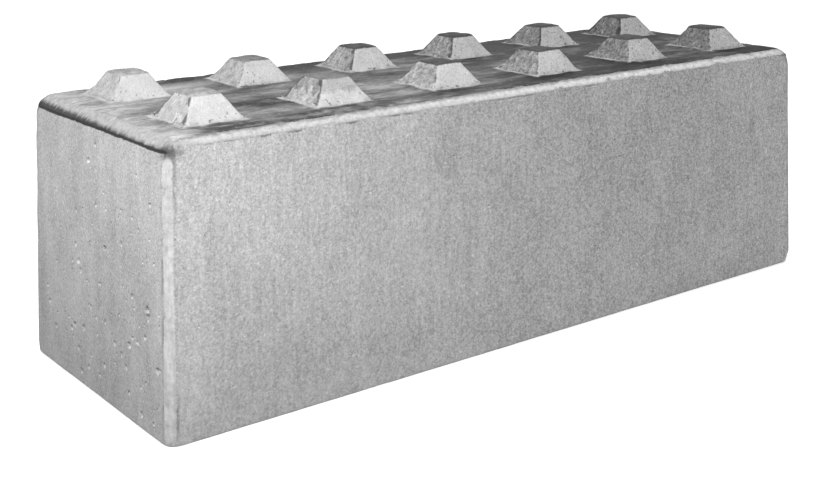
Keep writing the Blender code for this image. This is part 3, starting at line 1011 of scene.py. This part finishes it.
def place_turned(kind, node, profile, finish):
    """Adds a solid of revolution at its node. The profile runs down, from the axis to the axis."""
    sides = TURNED_SIDES
    angles = 2 * math.pi * np.arange(sides) / sides
    points = [(0.0, 0.0, profile[0][1])]
    for radius, z in profile[1:-1]:
        points += [(radius * math.cos(angle), radius * math.sin(angle), z) for angle in angles]
    points.append((0.0, 0.0, profile[-1][1]))
    last = len(points) - 1
    rings = len(profile) - 2
    faces = []
    for side in range(sides):
        beside = (side + 1) % sides
        faces.append((0, 1 + side, 1 + beside))
        for ring in range(rings - 1):
            here, below = 1 + ring * sides, 1 + (ring + 1) * sides
            faces.append((here + side, below + side, below + beside, here + beside))
        low_ring = 1 + (rings - 1) * sides
        faces.append((low_ring + side, last, low_ring + beside))
    mesh = new_mesh(f"{kind}_{node}", np.array(points), faces, TURNED_SHARP_ANGLE)
    low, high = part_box(node)
    mesh.transform(Matrix.Translation(((low.x + high.x) / 2, (low.y + high.y) / 2, 0)))
    place_piece(mesh, finish, node)


def arc(centre_radius, centre_z, radius, start, end, steps):
    """Points on an arc of a turned profile. Angles are in degrees from straight up, outwards."""
    points = []
    for step in range(steps + 1):
        angle = math.radians(start + (end - start) * step / steps)
        reach, rise = radius * math.sin(angle), radius * math.cos(angle)
        points.append((centre_radius + reach, centre_z + rise))
    return points


def build_anchor(node, finish):
    """A forged ball-head anchor: flattened crown, neck fillet, shank and flared foot."""
    low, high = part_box(node)
    foot = (high.x - low.x) / 2
    head_z = high.z - ANCHOR_HEAD_RADIUS
    meeting = 180 - math.degrees(math.asin(ANCHOR_SHANK_RADIUS / ANCHOR_HEAD_RADIUS))
    profile = [(0.0, high.z - ANCHOR_CROWN_FLAT)]
    profile += arc(0, head_z, ANCHOR_HEAD_RADIUS, 18, meeting, 20)
    flare_top = low.z + ANCHOR_FOOT_THICKNESS + foot - ANCHOR_SHANK_RADIUS
    profile += [(ANCHOR_SHANK_RADIUS, head_z - ANCHOR_NECK_DROP), (ANCHOR_SHANK_RADIUS, flare_top)]
    foot_top = low.z + ANCHOR_FOOT_THICKNESS
    profile += [(foot - 0.0008, foot_top), (foot, foot_top - 0.0012)]
    profile += [(foot, low.z + 0.001), (foot - 0.001, low.z), (0.0, low.z)]
    place_turned("forged", node, profile, finish)


def build_chair(node, finish):
    """A cast spacer foot with a drawn-in waist and softened rims."""
    low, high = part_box(node)
    foot = (high.x - low.x) / 2
    top = foot * CHAIR_TOP_SHARE
    profile = [(0.0, high.z), (top - 0.0012, high.z), (top, high.z - 0.0012)]
    for step in range(1, CHAIR_WAIST_STEPS):
        share = step / CHAIR_WAIST_STEPS
        waist = CHAIR_WAIST * math.sin(math.pi * share)
        profile.append((top + (foot - top) * share - waist, high.z + (low.z - high.z) * share))
    profile += [(foot, low.z + 0.0015), (foot - 0.0008, low.z), (0.0, low.z)]
    place_turned("cast", node, profile, finish)


def wheel_cell(ring, sector):
    """Whether a wheel has plastic in a ring (hub, spokes, rim) at a sector. 0 is in the slot."""
    slot = sector in (0, 1, WHEEL_SECTORS - 1)
    spacing = WHEEL_SECTORS // WHEEL_SPOKES
    return not slot and (ring != 1 or sector % spacing == spacing // 2)


def build_wheel(node, finish):
    """A wheel spacer: a hub with a clip slot, spokes and a scalloped rim, all one moulding."""
    low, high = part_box(node)
    outer = (high.x - low.x) / 2
    radii = (WHEEL_BORE, WHEEL_HUB, outer - WHEEL_RIM, outer)
    bm = bmesh.new()
    layers = []
    for z in (low.z, high.z):
        grid = []
        for ring, radius in enumerate(radii):
            row = []
            for sector in range(WHEEL_SECTORS):
                angle = 2 * math.pi * sector / WHEEL_SECTORS
                dip = WHEEL_SCALLOP * (0.5 - 0.5 * math.cos(angle * WHEEL_SECTORS / 4))
                reach = radius - (dip if ring == 3 else 0)
                row.append(bm.verts.new((reach * math.cos(angle), reach * math.sin(angle), z)))
            grid.append(row)
        layers.append(grid)
    below, above = layers
    for ring in range(3):
        for sector in range(WHEEL_SECTORS):
            if not wheel_cell(ring, sector):
                continue
            beside = (sector + 1) % WHEEL_SECTORS
            outline = ((ring, sector), (ring + 1, sector), (ring + 1, beside), (ring, beside))
            steps = ((0, -1), (1, 0), (0, 1), (-1, 0))
            bm.faces.new([above[r][s] for r, s in outline])
            bm.faces.new([below[r][s] for r, s in reversed(outline)])
            for side, (out, onward) in enumerate(steps):
                next_ring, next_sector = ring + out, (sector + onward) % WHEEL_SECTORS
                if not (0 <= next_ring < 3 and wheel_cell(next_ring, next_sector)):
                    (r1, s1), (r2, s2) = outline[side], outline[(side + 1) % 4]
                    bm.faces.new((below[r1][s1], below[r2][s2], above[r2][s2], above[r1][s1]))
    loose = [vert for vert in bm.verts if not vert.link_faces]
    bmesh.ops.delete(bm, geom=loose, context="VERTS")
    bmesh.ops.recalc_face_normals(bm, faces=bm.faces)
    centre = (low + high) / 2
    bmesh.ops.translate(bm, verts=bm.verts, vec=(centre.x, centre.y, 0))
    mesh = bpy.data.meshes.new(f"plastic_{node}")
    bm.to_mesh(mesh)
    bm.free()
    shade(mesh, TURNED_SHARP_ANGLE)
    place_piece(mesh, finish, node)


# Stage


def floor_finish():
    g = Graph("pale_floor")
    clouds = g.noise(0.6, 3.0, 0.5)
    g.feed(g.shader.inputs["Emission Color"], (1, 1, 1, 1))
    g.feed(g.shader.inputs["Emission Strength"], FLOOR_GLOW)
    return g.finish(g.more(0.93, clouds, 0.02), 0.9)


def build_floor():
    bm = bmesh.new()
    bmesh.ops.create_grid(bm, x_segments=8, y_segments=8, size=FLOOR_HALF_SIZE)
    mesh = bpy.data.meshes.new("floor")
    bm.to_mesh(mesh)
    bm.free()
    mesh.materials.append(floor_finish())
    new_object("floor", mesh)


def area_light(name, place, target, size, watts):
    light = bpy.data.lights.new(name, "AREA")
    light.shape = "DISK"
    light.size = size
    light.energy = watts
    lamp = new_object(name, light)
    lamp.location = place
    lamp.rotation_mode = "QUATERNION"
    lamp.rotation_quaternion = (Vector(target) - Vector(place)).to_track_quat("-Z", "Y")


def build_lights():
    world = bpy.data.worlds.new("studio")
    world.use_nodes = True
    background = world.node_tree.nodes["Background"].inputs
    background["Color"].default_value = (1, 1, 1, 1)
    background["Strength"].default_value = WORLD_STRENGTH
    bpy.context.scene.world = world
    near_corner = (-END_X, -FLANK_Y, DECK_Z)
    area_light("key", KEY_PLACE, near_corner, KEY_SIZE, KEY_WATTS)
    area_light("back_fill", FILL_PLACE, (0, 0, DECK_Z / 2), FILL_SIZE, FILL_WATTS)


def shift_only_at(camera_object, name, shift):
    """Keys a lens shift that holds while the camera stays where it was put, and is 0 elsewhere.

    The reach on each side of that place is 0.01, because curve.update() joins closer keys.
    """
    curve = camera_object.data.driver_add(name)
    curve.driver.type = "AVERAGE"
    variable = curve.driver.variables.new()
    variable.type = "TRANSFORMS"
    target = variable.targets[0]
    target.id = camera_object
    target.transform_type = "LOC_X"
    target.transform_space = "WORLD_SPACE"
    for modifier in list(curve.modifiers):
        curve.modifiers.remove(modifier)
    place = camera_object.location.x
    reach = CAMERA_SHIFT_REACH
    keys = ((place - 1, 0.0), (place - reach, shift), (place + reach, 0.0))
    curve.keyframe_points.add(len(keys))
    for point, key in zip(curve.keyframe_points, keys):
        point.co = key
        point.interpolation = "CONSTANT"
    curve.update()


def build_camera():
    camera = bpy.data.cameras.new("camera")
    camera.lens = CAMERA_LENS
    camera.sensor_width = SENSOR_WIDTH
    camera.clip_start = 0.05
    camera_object = new_object("camera", camera)
    camera_object.location = CAMERA_PLACE
    yaw, pitch, roll = (math.radians(angle) for angle in CAMERA_TURN)
    turn = Matrix.Rotation(-yaw, 3, "Z") @ Matrix.Rotation(math.pi / 2 - pitch, 3, "X")
    camera_object.rotation_mode = "QUATERNION"
    camera_object.rotation_quaternion = (turn @ Matrix.Rotation(roll, 3, "Z")).to_quaternion()
    bpy.context.scene.camera = camera_object
    bpy.context.view_layer.update()
    shift_only_at(camera_object, "shift_x", CAMERA_SHIFT[0])
    shift_only_at(camera_object, "shift_y", CAMERA_SHIFT[1])
    bpy.context.scene.view_settings.view_transform = "Standard"


def build():
    build_casting(concrete())
    bar_steel = rolled_steel()
    builders = {
        "long_bar": (build_long_bar, bar_steel),
        "cage_link": (build_link, bar_steel),
        "lifting_anchor": (build_anchor, forged_steel()),
        "bar_chair": (build_chair, fibre_cement()),
        "wheel_spacer": (build_wheel, spacer_plastic()),
    }
    for node in sorted(frame["nodes"]):
        for kind, (builder, finish) in builders.items():
            if node.startswith(kind):
                builder(node, finish)
    build_floor()
    build_lights()
    build_camera()


build()
